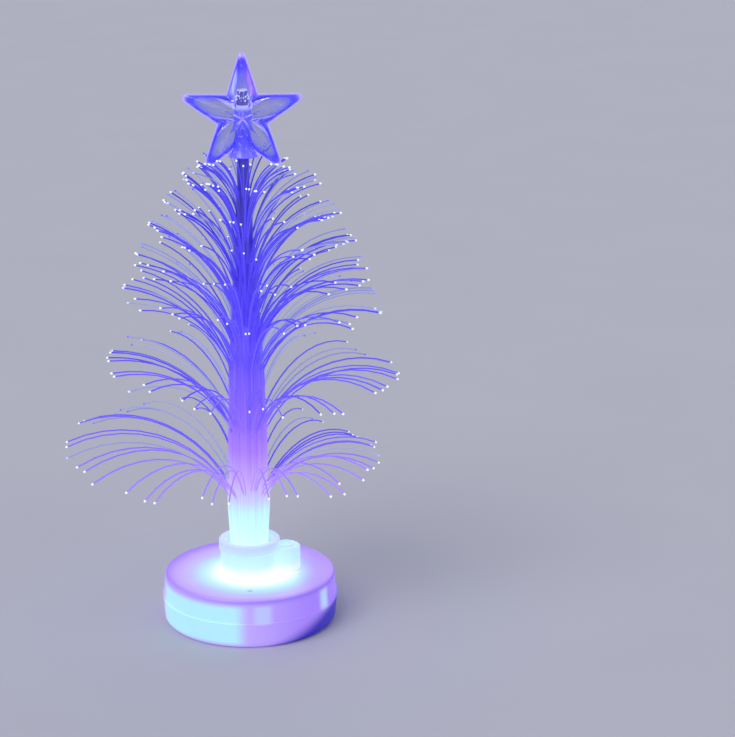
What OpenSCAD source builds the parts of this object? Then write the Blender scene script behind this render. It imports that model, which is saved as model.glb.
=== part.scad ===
// Fibre optic tabletop Christmas tree.
// A round battery base in two covers that twist apart, a push button in a sleeve beside the collar,
// a sheaf of light fibres that leave the trunk tier by tier, and a hollow clear star on the tip.
// The axis of the tree is Z and the underside of the base is at zero.

/* [Base] */
// Diameter of the base at its seam, where it is widest
base_d = 40; // [39:0.5:44]
// Height of the base up to its flat top
base_h = 11.6; // [11.3:0.1:14]
// Height of the seam between the two covers
seam_z = 6; // [5.4:0.1:6.6]
// Thickness of the side walls
wall_t = 1.8; // [1.7:0.1:2]
// Thickness of the floor
floor_t = 1.5; // [1.2:0.1:1.7]
// Thickness of the roof
roof_t = 1.5; // [1.2:0.1:1.7]
// How much a cover narrows from the seam to its far edge
draft = 0.3; // [0.1:0.05:0.5]
// Step in from the lower cover to the upper cover at the seam
seam_step = 0.25; // [0.1:0.05:0.3]
// Radius of the rounded top edge
top_edge_r = 1; // [0.4:0.1:1.2]
// Radius of the rounded bottom edge
bottom_edge_r = 1.8; // [0.8:0.1:2.4]
// Diameter of the moulding dimple in the roof
dimple_d = 1.8; // [1:0.1:2.4]
// Depth of the moulding dimple
dimple_h = 0.3; // [0.1:0.05:0.5]
// Distance of the moulding dimple from the axis
dimple_y = 13.5; // [11:0.5:16]

/* [Twist lock] */
// Height of the tongue above the seam
tongue_h = 1.8; // [1.6:0.1:2.2]
// Thickness of the tongue
tongue_t = 0.75; // [0.65:0.05:0.8]
// Number of locking lugs
lug_count = 3; // [2:1:4]
// Width of a lug, in degrees
lug_angle = 12; // [8:1:16]
// Height of a lug
lug_h = 0.65; // [0.5:0.05:0.8]
// How far a lug stands in from the rebate
lug_reach = 0.7; // [0.5:0.05:0.8]
// Height of a lug's underside above the seam
lug_lift = 0.3; // [0.25:0.05:0.4]
// Turn from locked to open, in degrees
lock_turn = 25; // [15:1:35]

/* [Collar and ferrule] */
// Outer diameter of the collar
collar_d = 13.2; // [12.4:0.1:13.8]
// Height of the collar above the base
collar_h = 7.6; // [7:0.1:10]
// Outer diameter of the collar's rim
rim_d = 13.9; // [13.2:0.1:14.6]
// Height of the collar's rim
rim_h = 2.6; // [1.5:0.1:3.4]
// Diameter of the recess in the rim round the fibres
recess_d = 10.9; // [10.4:0.1:11.4]
// Depth of the recess in the rim
recess_h = 2.8; // [2:0.1:3.4]
// Height of the ferrule's seat above the circuit board
seat_h = 9.4; // [9.2:0.1:9.6]
// Width of the ledge that stops the ferrule and the fibres
ledge_w = 0.5; // [0.3:0.05:0.7]
// Wall thickness of the ferrule
ferrule_t = 0.3; // [0.2:0.05:0.4]
// Height of the ferrule
ferrule_h = 5.4; // [4:0.1:6]

/* [Button and switch] */
// Distance of the button from the axis of the tree
button_x = 8.3; // [8:0.1:8.8]
// Diameter of the button
button_d = 3.9; // [3.4:0.1:4.2]
// How far the button stands above its sleeve
button_proud = 0.5; // [0.5:0.05:1]
// Radius of the dish in the button's top
dish_r = 4; // [3:0.1:6]
// Depth of the dish in the button's top
dish_h = 0.2; // [0.1:0.05:0.3]
// Diameter of the button's stop flange
flange_d = 5.6; // [5:0.1:6]
// Thickness of the button's stop flange
flange_t = 0.6; // [0.5:0.05:0.65]
// Outer diameter of the button's sleeve
sleeve_d = 6.6; // [6.2:0.1:7]
// Height of the sleeve above the base
sleeve_h = 5.7; // [4:0.1:6.5]
// Radius of the sleeve's rounded top edge
sleeve_edge_r = 0.5; // [0.2:0.05:0.8]
// Travel of the button
press = 0.5; // [0.25:0.05:0.5]
// Side of the square switch body
switch_w = 6; // [5.6:0.1:6.2]
// Height of the switch body
switch_h = 3.5; // [3.2:0.1:3.8]
// Height from the switch plunger's top up to the roof
plunger_top_h = 1.2; // [1.1:0.1:1.5]
// Diameter of the switch plunger
plunger_d = 3.4; // [2.8:0.1:3.6]
// Length of a switch leg on the board
leg_l = 0.8; // [0.5:0.1:1]
// Width of a switch leg
leg_w = 0.7; // [0.5:0.1:0.9]
// Thickness of a switch leg
leg_t = 0.3; // [0.2:0.05:0.4]

/* [Board and lamp] */
// Diameter of the round part of the circuit board
board_d = 10; // [9.6:0.1:10.2]
// Thickness of the circuit board
board_t = 1; // [0.8:0.1:1.1]
// Height of the board above the floor
board_lift = 0.7; // [0.6:0.05:0.8]
// Width of the board's arm under the switch
arm_w = 6.4; // [6.2:0.1:6.6]
// Length of the board's arm beyond the switch
arm_end = 2.6; // [2.4:0.1:2.8]
// Diameter of a moulded stake that holds the board or a contact
stake_d = 1; // [0.8:0.1:1.2]
// Height that a stake stands above what it holds
stake_head = 0.4; // [0.2:0.1:0.6]
// Distance of the board's inner stakes from the axis
stake_ring_r = 4.1; // [4:0.05:4.2]
// Angle of the board's inner stakes from the far side of the button
stake_turn = 40; // [30:1:50]
// Diameter of the light emitting diode's lens
led_d = 5; // [4.8:0.1:5.4]
// Height of the lens with its flange
led_h = 8.6; // [8:0.1:8.8]
// Diameter of the lens flange
led_flange_d = 5.8; // [5.4:0.1:6]
// Thickness of the lens flange
led_flange_t = 1; // [0.8:0.1:1.2]
// Gap between the lens and the fibre ends
led_gap = 0.3; // [0.2:0.05:0.5]
// Diameter of a lamp lead
lead_d = 0.5; // [0.4:0.05:0.6]
// Distance between the two lamp leads
lead_pitch = 2.54; // [2.4:0.02:2.6]
// Length of a lead below the board
lead_tail = 0.3; // [0.2:0.05:0.5]
// Length of the resistor
resistor_l = 2; // [1.6:0.1:2.4]
// Width of the resistor
resistor_w = 1.25; // [1:0.05:1.3]
// Height of the resistor
resistor_h = 0.5; // [0.4:0.05:0.6]

/* [Cells and contacts] */
// Diameter of a button cell
cell_d = 11.6; // [11:0.1:11.8]
// Height of a button cell
cell_h = 5.4; // [4.8:0.1:5.6]
// Diameter of a cell's raised negative cap
cap_d = 8.8; // [8:0.1:9.4]
// Height of a cell's raised negative cap
cap_h = 0.4; // [0.3:0.05:0.5]
// Distance of the ring of cells in from the side wall
cell_ring_r = 6.2; // [6.1:0.05:6.3]
// Direction of the first cell from the button, in degrees
cell_turn = 56; // [56:1:62]
// Wall thickness of a cell pocket
pocket_t = 0.8; // [0.6:0.05:0.9]
// Height of a cell pocket's wall above the floor
pocket_h = 2.7; // [2:0.1:3.5]
// Thickness of the contact strips
contact_t = 0.2; // [0.15:0.05:0.25]
// Width of the contact strips
contact_w = 2.4; // [2:0.1:2.8]
// Diameter of a contact pad under a cell
pad_d = 8; // [6:0.1:8.6]
// Diameter of the upper bridge's round ends
tab_d = 3.6; // [3:0.1:5]
// Height of the pressed bump that meets a cell's top
bump_h = 0.15; // [0.1:0.05:0.25]
// Diameter of the pressed bump
bump_d = 2; // [1.6:0.1:2.4]
// Diameter of the post under the upper bridge
post_d = 3; // [2.6:0.1:3.6]

/* [Fibres] */
// Diameter of the fibre bundle in its ferrule
bundle_d = 8.7; // [8.4:0.05:9]
// Diameter of the loosened trunk above the collar
trunk_d = 10; // [9.4:0.1:10.4]
// Thickness of one fibre
fibre_d = 0.5; // [0.4:0.05:0.55]
// Number of tiers
tier_count = 8; // [6:1:11]
// Number of the lowest gaps between tiers that are twice as wide
wide_gaps = 2; // [0:1:3]
// Fibres in the lowest tier
low_fibres = 44; // [30:2:44]
// Fibres in the highest tier
high_fibres = 26; // [12:2:26]
// Fibres that run on into the star
core_fibres = 26; // [20:1:30]
// Fibre ends that show inside the star
star_fibres = 7; // [5:1:8]
// Reach of the lowest tips from the axis
low_reach = 35; // [31:0.5:40]
// How much further the lowest fibres reach on the side away from the button
lean = 5.5; // [0:0.5:6]
// How much further the fibres between the lowest and the highest tier reach on the button's side
comb_reach = 1.6; // [0:0.2:4]
// How much more those fibres tilt on the button's side, in degrees
comb_tilt = 10; // [0:1:16]
// How much more the highest fibres tilt where they pass below the star's arms, in degrees
star_press = 18; // [14:1:24]
// How closely those fibres keep to the star's plane, as a power
press_focus = 8; // [4:2:12]
// Reach of the highest tips from the axis
high_reach = 11.2; // [10.8:0.1:12.5]
// How far the outline swells out at half height
swell = 4.25; // [4:0.25:7]
// Height of the lowest tips above the collar
low_tip_h = 19.4; // [14:0.1:22]
// Height of the highest tips above the collar
high_tip_h = 87.4; // [84:0.2:89]
// How far the tiers rise above even spacing at half height
tier_rise = 6.25; // [4:0.25:8]
// Spread of the fibres within a tier, as a share of the spacing
tier_spread = 0.35; // [0:0.05:0.4]
// Sideways sway of the lowest fibres, as a share of their spacing
sway = 0.5; // [0:0.05:0.6]
// Tilt of the lowest tips from upright, in degrees
low_tilt = 116; // [105:1:125]
// Tilt of the highest tips from upright, in degrees
high_tilt = 62; // [56:1:70]
// Tilt at which the lowest fibres leave the trunk, in degrees
low_leave_tilt = 30; // [20:1:34]
// Tilt at which the highest fibres leave the trunk, in degrees
leave_tilt = 12; // [10:0.5:14]

/* [Star] */
// Height of the star's centre above the highest tips
star_h = 9.7; // [8.6:0.1:13.6]
// Radius of the star at its tips
star_r = 13.5; // [12:0.1:14]
// Radius of the star at its notches
notch_r = 5.85; // [5.4:0.05:6.4]
// Radius of the rounded tips
tip_r = 0.8; // [0.5:0.05:1]
// Thickness of the star at its centre
star_d = 9.4; // [8.4:0.1:11]
// Thickness of the star along its edge
edge_t = 1.2; // [0.8:0.1:1.4]
// Wall thickness of the star
star_wall = 1.1; // [0.8:0.05:1.3]
// Wall thickness of the socket under the star
socket_t = 0.4; // [0.3:0.05:0.5]
// Height of the socket's upper end above the star's centre
socket_rise = 1.6; // [1:0.1:2.2]
// Depth of the socket's lower end below the star's centre
socket_drop = 8.9; // [8.4:0.1:9.4]
// Diameter of the socket's flared mouth
mouth_d = 6.5; // [5.6:0.1:6.8]
// Height of the socket's flare
mouth_h = 2.8; // [2.2:0.1:3.2]

/* [Clearances] */
// Gap round pieces that are seated and stay
fit_gap = 0.05; // [0.02:0.01:0.06]
// Gap round pieces that slide or turn
run_gap = 0.1; // [0.06:0.01:0.1]
// Gap above and below a lug in its slot
lock_gap = 0.15; // [0.1:0.01:0.2]
// Gap between the button and what stops it
stop_gap = 0.05; // [0.03:0.01:0.08]
// Gap round cells in their pockets and strips in their tunnels
loose_gap = 0.15; // [0.1:0.01:0.2]

/* [Hidden] */
$fn = 64;
// How far a cut runs past the face that it opens
cut = 1;
base_r = base_d / 2;
cavity_r = base_r - wall_t;
tongue_r = cavity_r + tongue_t;
rebate_r = tongue_r + run_gap;
roof_z = base_h - roof_t;
lug_z = seam_z + lug_lift;
lug_side_gap = 1;

bundle_r = bundle_d / 2;
ferrule_bore_r = bundle_r + fit_gap;
ferrule_r = ferrule_bore_r + ferrule_t;
collar_top = base_h + collar_h;
sleeve_top = base_h + sleeve_h;

pocket_r = cell_d / 2 + loose_gap;
cell_place_r = cavity_r - cell_ring_r;
board_z = floor_t + board_lift;
board_top = board_z + board_t;
seat_z = board_top + seat_h;
arm_x = button_x + switch_w / 2 + arm_end;
stake_places = [
  [stake_ring_r * cos(180 - stake_turn), stake_ring_r * sin(180 - stake_turn)],
  [stake_ring_r * cos(180 + stake_turn), stake_ring_r * sin(180 + stake_turn)],
  [arm_x - stake_d, 0]
];
plunger_top = roof_z - plunger_top_h;
plunger_foot = board_top + switch_h - run_gap;
button_foot = plunger_top + stop_gap;
led_top = seat_z - led_gap;
led_foot = led_top - led_h;

cell_foot = floor_t + contact_t;
cell_top = cell_foot + cell_h;
strip_z = cell_top + bump_h;
cell_pitch = 120;

trunk_r = trunk_d / 2;
fibre_r = fibre_d / 2;
fibre_sides = 3;
arc_steps = 4;
fibre_root_depth = 0.45;
slice_lead = 1;
slice_end = 2.6;
tier_last = tier_count - 1;
core_r = trunk_r * sqrt(core_fibres / fibres_from(0));
star_z = collar_top + high_tip_h + star_h;
arms = 5;
tip_sweep = 60;
socket_bore_r = core_r + fit_gap;
socket_r = socket_bore_r + socket_t;
socket_top = star_z + socket_rise;
socket_foot = star_z - socket_drop;

// Points of an arc round [x, z] from one angle to another
function arc(x, z, r, from, to, steps = 6) =
  [for (i = [0:steps]) let (a = from + (to - from) * i / steps) [x + r * cos(a), z + r * sin(a)]];

// A fixed scatter between 0 and 1 for fibre i of tier k
function scatter(i, k) = let (v = 43758.5453 * sin(127.1 * i + 311.7 * k + 45)) v - floor(v);

function tier_name(k) = str("fibre_tier_", k < 9 ? "0" : "", k + 1);

// Fibres in tier k, and fibres still in the trunk below tier k
function tier_fibres(k) = round(low_fibres + (high_fibres - low_fibres) * k / tier_last);
function fibres_from(k) = k > tier_last ? core_fibres : tier_fibres(k) + fibres_from(k + 1);

// Place of tier k in the tree, from 0 for the lowest tier to 1 for the highest
function tier_place(k, spread = 0) = (k + min(k, wide_gaps) + spread) / (tier_last + wide_gaps);

// Tip reach, tip height, tip tilt and tilt on leaving the trunk at a place t in the tree
function reach_at(t) = low_reach + (high_reach - low_reach) * t + 4 * swell * t * (1 - t);
function tip_z_at(t) = collar_top + low_tip_h + (high_tip_h - low_tip_h) * t + 4 * tier_rise * t * (1 - t);
function tilt_at(t) = low_tilt + (high_tilt - low_tilt) * t;
function leave_tilt_at(t) = low_leave_tilt + (leave_tilt - low_leave_tilt) * t;

// Trunk radius below tier k: the trunk thins by the fibres that have left it
function trunk_r_at(k) = trunk_r * sqrt(fibres_from(k) / fibres_from(0));
function leave_r(k) = trunk_r_at(k) - fibre_root_depth;

// Radius of the one arc in which a fibre of tier k bends to its reach and tilt, and height where it begins
function bend_r(k, t, reach, tilt) = (reach - leave_r(k)) / (cos(leave_tilt_at(t)) - cos(tilt));
function leave_z(k, t) =
  tip_z_at(t) - bend_r(k, t, reach_at(t), tilt_at(t)) * (sin(tilt_at(t)) - sin(leave_tilt_at(t)));

// How much further a fibre of tier k reaches and tilts at that turn from the button
function lean_reach(k, turn) = (k == 0 ? -lean : k < tier_last ? comb_reach : 0) * cos(turn);
function lean_tilt(k, turn) =
  k == 0 ? 0 :
  k < tier_last ? comb_tilt * cos(turn) :
  star_press * pow(abs(cos(turn)), press_focus);

// Height where the trunk slice of tier k begins. The last slice ends above the highest fibre's root.
function slice_z(k) =
  k == 0 ? collar_top :
  k > tier_last ? leave_z(tier_last, tier_place(tier_last, tier_spread)) + slice_end :
  leave_z(k, tier_place(k)) - slice_lead;

// One fibre in the plane of its azimuth: a three-sided sweep along the arc
module fibre(k, i) {
  count = tier_fibres(k);
  t = tier_place(k, tier_spread * scatter(i, k));
  foot_z = leave_z(k, t);
  foot_tilt = leave_tilt_at(t);
  swing = sway * (1 - k / tier_last) * (scatter(i, k + 20) - 0.5);
  turn = 360 * (i + 0.5 + swing) / count;
  tip_tilt = tilt_at(t) + lean_tilt(k, turn);
  bend = bend_r(k, t, reach_at(t) + lean_reach(k, turn), tip_tilt);
  points = [
    for (s = [0:arc_steps])
      let (
        tilt = foot_tilt + (tip_tilt - foot_tilt) * s / arc_steps,
        r = leave_r(k) + bend * (cos(foot_tilt) - cos(tilt)),
        z = foot_z + bend * (sin(tilt) - sin(foot_tilt))
      )
      for (c = [0:fibre_sides - 1])
        let (
          a = 360 * c / fibre_sides,
          out = fibre_r * cos(a)
        )
        [r - out * cos(tilt), fibre_r * sin(a), z + out * sin(tilt)]
  ];
  sides = [
    for (s = [0:arc_steps - 1])
      for (c = [0:fibre_sides - 1])
        let (
          a = s * fibre_sides + c,
          b = s * fibre_sides + (c + 1) % fibre_sides,
          d = a + fibre_sides,
          e = b + fibre_sides
        )
        each [[a, b, d], [b, e, d]]
  ];
  tip = arc_steps * fibre_sides;
  rotate([0, 0, turn])
    polyhedron(points, concat(sides, [[0, 2, 1], [tip, tip + 1, tip + 2]]));
}

// Outline of the star with rounded tips, in its own plane
function star_outline(radius, notch, tip) = [
  for (arm = [0:arms - 1])
    let (
      a = 90 + 360 * arm / arms,
      b = a + 180 / arms
    )
    each concat(
      arc((radius - tip) * cos(a), (radius - tip) * sin(a), tip, a - tip_sweep, a + tip_sweep, 2),
      [[notch * cos(b), notch * sin(b)]]
    )
];

// A star with straight edges from back to edge and a ridged pyramid from edge to peak.
// The flat back is a fan round a point off the centre.
module star_solid(radius, notch, tip, back, edge, peak) {
  outline = star_outline(radius, notch, tip);
  n = len(outline);
  fan_off = notch / 12;
  points = concat(
    [for (p = outline) [p[0], back, p[1]]],
    [for (p = outline) [p[0], edge, p[1]]],
    [[fan_off, back, fan_off / 2], [0, peak, 0]]
  );
  faces = [
    for (i = [0:n - 1])
      let (j = (i + 1) % n)
      each [[2 * n, i, j], [i, n + i, j], [j, n + i, n + j], [2 * n + 1, n + j, n + i]]
  ];
  polyhedron(points, faces);
}

// Places a copy at cell number c
module at_cell(c) {
  rotate([0, 0, cell_turn + cell_pitch * c])
    translate([cell_place_r, 0, 0])
      children();
}

// A flat ring sector round the axis of the tree
module sector(r_in, r_out, z, h, from, span) {
  rotate([0, 0, from])
    rotate_extrude(angle = span)
      translate([r_in, z])
        square([r_out - r_in, h]);
}

// Lower cover: floor, wall and locking tongue, with cell pockets and stakes moulded on
module bottom_cover() {
  foot_r = base_r - draft;
  shell = concat(
    [[0, 0]],
    arc(foot_r - bottom_edge_r, bottom_edge_r, bottom_edge_r, -90, 0),
    [[base_r, seam_z], [tongue_r, seam_z], [tongue_r, seam_z + tongue_h],
     [cavity_r, seam_z + tongue_h], [cavity_r, floor_t], [0, floor_t]]
  );
  tunnel_h = contact_t + loose_gap;
  tunnel_w = contact_w / 2 + loose_gap;
  color("#cfc4f2")
    difference() {
      union() {
        rotate_extrude()
          polygon(shell);
        difference() {
          for (c = [0:2])
            at_cell(c)
              translate([0, 0, floor_t / 2])
                difference() {
                  cylinder(r = pocket_r + pocket_t, h = pocket_h + floor_t / 2);
                  translate([0, 0, floor_t / 2])
                    cylinder(r = pocket_r, h = pocket_h + floor_t);
                }
          translate([0, 0, board_z - loose_gap])
            board_blank(loose_gap, pocket_h);
        }
        for (p = stake_places)
          translate([p[0], p[1], floor_t / 2]) {
            cylinder(d = 2 * stake_d, h = board_z - floor_t / 2);
            cylinder(d = stake_d, h = board_top + stake_head - floor_t / 2);
          }
        rotate([0, 0, cell_turn + 1.5 * cell_pitch])
          translate([cell_place_r, 0, floor_t / 2]) {
            cylinder(d = post_d, h = strip_z - floor_t / 2);
            cylinder(d = stake_d, h = strip_z + contact_t + stake_head - floor_t / 2);
          }
      }
      sector(cell_place_r - tunnel_w, cell_place_r + tunnel_w, floor_t, tunnel_h, cell_turn, cell_pitch);
      rotate([0, 0, cell_turn + 2 * cell_pitch])
        translate([0, -tunnel_w, floor_t])
          cube([cell_place_r, 2 * tunnel_w, tunnel_h]);
      for (n = [0:lug_count - 1])
        lock_slot(360 * n / lug_count);
    }
}

// Slot in the tongue for the lug at one angle: a level run and its open entrance
module lock_slot(turn) {
  run_side = lug_angle / 2 + lug_side_gap;
  entry_side = lug_angle / 2 + lug_side_gap / 2;
  low = lug_z - lock_gap;
  sector(cavity_r - run_gap, rebate_r, low, lug_h + 2 * lock_gap, turn - run_side, lock_turn + 2 * run_side);
  sector(cavity_r - 2 * run_gap, rebate_r + run_gap, low + lug_h / 2, tongue_h + seam_z,
         turn + lock_turn - entry_side, 2 * entry_side);
}

// Upper cover: skirt and roof with the fibre collar, the button sleeve and the locking lugs
module top_cover() {
  skirt_r = base_r - seam_step;
  roof_r = skirt_r - draft;
  rebate_top = seam_z + tongue_h + run_gap;
  shell = concat(
    [[rebate_r, seam_z], [skirt_r, seam_z]],
    arc(roof_r - top_edge_r, base_h - top_edge_r, top_edge_r, 0, 90),
    [[0, base_h], [0, roof_z], [cavity_r, roof_z], [cavity_r, rebate_top], [rebate_r, rebate_top]]
  );
  lip_r = (rim_d - collar_d) / 2;
  collar = concat(
    [[0, roof_z], [collar_d / 2, roof_z], [collar_d / 2, collar_top - rim_h]],
    [[rim_d / 2, collar_top - rim_h + lip_r]],
    arc(rim_d / 2 - lip_r, collar_top - lip_r, lip_r, 0, 90, 3),
    [[0, collar_top]]
  );
  sleeve = concat(
    [[0, roof_z], [sleeve_d / 2, roof_z]],
    arc(sleeve_d / 2 - sleeve_edge_r, sleeve_top - sleeve_edge_r, sleeve_edge_r, 0, 90, 3),
    [[0, sleeve_top]]
  );
  color("#d9cdf7")
    difference() {
      union() {
        rotate_extrude()
          polygon(shell);
        rotate_extrude()
          polygon(collar);
        translate([button_x, 0, 0])
          rotate_extrude()
            polygon(sleeve);
        for (n = [0:lug_count - 1])
          sector(rebate_r - lug_reach, rebate_r + (skirt_r - rebate_r) / 2, lug_z, lug_h,
                 360 * n / lug_count - lug_angle / 2, lug_angle);
      }
      translate([0, 0, roof_z - cut])
        cylinder(r = bundle_r - ledge_w, h = collar_h + roof_t + 2 * cut);
      translate([0, 0, seat_z])
        cylinder(r = ferrule_r + fit_gap, h = collar_h);
      translate([0, 0, collar_top - recess_h])
        cylinder(d = recess_d, h = recess_h + cut);
      translate([button_x, 0, roof_z - cut])
        cylinder(d = button_d + 2 * run_gap, h = sleeve_h + roof_t + 2 * cut);
      translate([0, -dimple_y, base_h - dimple_h])
        cylinder(d = dimple_d, h = 2 * dimple_h);
    }
}

// Push button: a dished stem in its sleeve with a stop flange under the roof
module push_button() {
  stem_top = sleeve_top + button_proud;
  color("#f0ecff")
    translate([button_x, 0, 0])
      difference() {
        union() {
          translate([0, 0, button_foot])
            cylinder(d = button_d, h = stem_top - button_foot);
          translate([0, 0, roof_z - stop_gap - flange_t])
            cylinder(d = flange_d, h = flange_t);
        }
        translate([0, 0, stem_top - dish_h + dish_r])
          sphere(r = dish_r);
      }
}

// Switch body: a square housing on four legs, open on top for its plunger
module switch_body() {
  color("#26262b")
    difference() {
      translate([button_x, 0, board_top]) {
        translate([-switch_w / 2, -switch_w / 2, 0])
          cube([switch_w, switch_w, switch_h]);
        for (x = [-1, 1])
          for (y = [-1, 1])
            translate([x * (switch_w + leg_l) / 2, y * (switch_w / 2 - leg_w), leg_t / 2])
              cube([2 * leg_l, leg_w, leg_t], center = true);
      }
      translate([button_x, 0, plunger_foot - press - run_gap])
        cylinder(d = plunger_d + 2 * run_gap, h = switch_h);
    }
}

// Switch plunger: the round actuator that the button presses
module switch_plunger() {
  color("#e6e2d8")
    translate([button_x, 0, plunger_foot])
      cylinder(d = plunger_d, h = plunger_top - plunger_foot);
}

// Board shape with a gap all round, as the piece itself and as the cut for it
module board_blank(gap, h) {
  cylinder(d = board_d + 2 * gap, h = h);
  translate([0, -arm_w / 2 - gap, 0])
    cube([arm_x + gap, arm_w + 2 * gap, h]);
}

// Circuit board: a disc under the lamp with an arm under the switch
module circuit_board() {
  color("#2e7d4f")
    difference() {
      translate([0, 0, board_z])
        board_blank(0, board_t);
      for (p = stake_places)
        translate([p[0], p[1], board_z - cut])
          cylinder(d = stake_d + 2 * fit_gap, h = board_t + 2 * cut);
      for (side = [-1, 1])
        translate([0, side * lead_pitch / 2, board_z - cut])
          cylinder(d = lead_d + 2 * fit_gap, h = board_t + 2 * cut);
    }
}

// Lamp lens: a domed body on a flange
module led_lens() {
  dome_r = led_d / 2;
  color("#f4f6ff") {
    translate([0, 0, led_foot])
      cylinder(d = led_flange_d, h = led_flange_t);
    translate([0, 0, led_foot])
      cylinder(r = dome_r, h = led_h - dome_r);
    translate([0, 0, led_top - dome_r])
      sphere(r = dome_r);
  }
}

// Lamp leads: two pins that stand the lens above the board
module led_leads() {
  color("#c9ccd2")
    for (side = [-1, 1])
      translate([0, side * lead_pitch / 2, board_z - lead_tail])
        cylinder(d = lead_d, h = led_foot - board_z + lead_tail);
}

// Resistor: a chip on the board beside the lamp
module resistor() {
  color("#33343a")
    translate([0, -stake_ring_r, board_top + resistor_h / 2])
      cube([resistor_l, resistor_w, resistor_h], center = true);
}

// Button cell number c with its negative cap below, or above where it is turned over
module cell(c, turned = false) {
  color("#c6c9cf")
    at_cell(c)
      translate([0, 0, cell_foot]) {
        translate([0, 0, turned ? 0 : cap_h])
          cylinder(d = cell_d, h = cell_h - cap_h);
        cylinder(d = cap_d, h = cell_h);
      }
}

module cell_a() { cell(0); }

module cell_b() { cell(1, true); }

module cell_c() { cell(2); }

// Lower bridge: a strip on the floor from the first cell to the second
module lower_bridge() {
  color("#d8c27a") {
    sector(cell_place_r - contact_w / 2, cell_place_r + contact_w / 2, floor_t, contact_t,
           cell_turn, cell_pitch);
    for (c = [0, 1])
      at_cell(c)
        rotate([0, 0, 45])
          translate([0, 0, floor_t])
            cylinder(d = pad_d, h = contact_t);
  }
}

// Upper bridge: a strip staked on its post, with a bump on the second and the third cell
module upper_bridge() {
  first = cell_turn + cell_pitch;
  middle = first + cell_pitch / 2;
  far = 2 * cell_place_r;
  wedge = [for (a = [first, middle, first + cell_pitch]) [far * cos(a), far * sin(a)]];
  color("#d8c27a") {
    translate([0, 0, strip_z])
      linear_extrude(contact_t)
        difference() {
          union() {
            intersection() {
              difference() {
                circle(r = cell_place_r + contact_w / 2);
                circle(r = cell_place_r - contact_w / 2);
              }
              polygon(concat([[0, 0]], wedge));
            }
            for (a = [first, first + cell_pitch])
              translate([cell_place_r * cos(a), cell_place_r * sin(a)])
                circle(d = tab_d);
          }
          translate([cell_place_r * cos(middle), cell_place_r * sin(middle)])
            circle(d = stake_d + 2 * fit_gap);
        }
    for (c = [1, 2])
      at_cell(c)
        translate([0, 0, cell_top])
          cylinder(d = bump_d, h = bump_h + contact_t / 2);
  }
}

// Positive clip: a bent strip from the board up and over the first cell
module positive_clip() {
  heel = board_d / 2 - 2 * contact_t;
  outline = [
    [heel - contact_w / 2, board_top], [heel, board_top], [heel, strip_z], [cell_place_r, strip_z],
    [cell_place_r, strip_z + contact_t], [heel - contact_t, strip_z + contact_t],
    [heel - contact_t, board_top + contact_t], [heel - contact_w / 2, board_top + contact_t]
  ];
  color("#d8c27a") {
    rotate([0, 0, cell_turn])
      translate([0, contact_w / 2, 0])
        rotate([90, 0, 0])
          linear_extrude(contact_w)
            polygon(outline);
    at_cell(0)
      translate([-bump_d / 2, 0, cell_top])
        cylinder(d = bump_d, h = bump_h + contact_t / 2);
  }
}

// Negative strip: a pad under the third cell with a tongue that rises to the board
module negative_strip() {
  tab = board_d / 2 - contact_w;
  color("#d8c27a") {
    at_cell(2)
      translate([0, 0, floor_t])
        cylinder(d = pad_d, h = contact_t);
    rotate([0, 0, cell_turn + 2 * cell_pitch])
      translate([tab, -contact_w / 2, floor_t]) {
        cube([cell_place_r - tab, contact_w, contact_t]);
        cube([contact_t, contact_w, board_lift]);
      }
  }
}

// Ferrule: the thin metal tube that grips the fibres in the collar
module ferrule() {
  color("#b9bcc4")
    translate([0, 0, seat_z])
      difference() {
        cylinder(r = ferrule_r, h = ferrule_h);
        translate([0, 0, -cut])
          cylinder(r = ferrule_bore_r, h = ferrule_h + 2 * cut);
      }
}

// Fibre root: the packed fibres from their cut ends to the top of the collar
module fibre_root() {
  color("#d6f3ff")
    translate([0, 0, seat_z])
      cylinder(r = bundle_r, h = collar_top - seat_z);
}

// Tier k: a slice of the trunk with the fibres that leave it there
module fibre_tier(k) {
  foot = k == 0 ? bundle_r : trunk_r_at(k);
  color("#4a63ff") {
    translate([0, 0, slice_z(k)])
      cylinder(r1 = foot, r2 = trunk_r_at(k + 1), h = slice_z(k + 1) - slice_z(k));
    for (i = [0:tier_fibres(k) - 1])
      fibre(k, i);
  }
}

// Fibre core: the last fibres, through the socket, with free ends inside the star
module fibre_core() {
  foot = slice_z(tier_count);
  free = star_wall + tip_r;
  color("#6f86ff") {
    translate([0, 0, foot])
      cylinder(r = core_r, h = socket_top - foot);
    for (i = [0:star_fibres - 1])
      rotate([0, 0, 360 * i / (star_fibres - 1)])
        translate([i == 0 ? 0 : core_r / 2, 0, socket_top - free])
          cylinder(r = fibre_r, h = free + notch_r - socket_rise - scatter(i, 3), $fn = fibre_sides);
  }
}

// Socket shape with a gap all round, as the piece itself and as the cut for it
module socket_body(gap) {
  rotate_extrude()
    polygon([
      [0, socket_foot - gap], [mouth_d / 2 + gap, socket_foot - gap], [socket_r + gap, socket_foot + mouth_h],
      [socket_r + gap, socket_top + gap], [0, socket_top + gap]
    ]);
}

// Star socket: a flared sleeve that sits on the fibre core
module star_socket() {
  color("#c3ccff")
    difference() {
      socket_body(0);
      translate([0, 0, socket_foot - cut])
        cylinder(r = socket_bore_r, h = socket_top - socket_foot + 2 * cut);
    }
}

// One half of the hollow star, open towards its other half
module star_half() {
  tip_inset = star_wall / sin(atan(notch_r * sin(180 / arms) / (star_r - notch_r * cos(180 / arms))));
  difference() {
    translate([0, 0, star_z])
      star_solid(star_r, notch_r, tip_r, 0, -edge_t / 2, -star_d / 2);
    translate([0, 0, star_z])
      star_solid(star_r - tip_inset, notch_r - star_wall, tip_r / 2,
                 star_wall, -edge_t / 4, star_wall - star_d / 2);
    rotate([0, 0, 45])
      socket_body(fit_gap);
  }
}

module star_front() {
  color("#9fb0ff")
    star_half();
}

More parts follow.
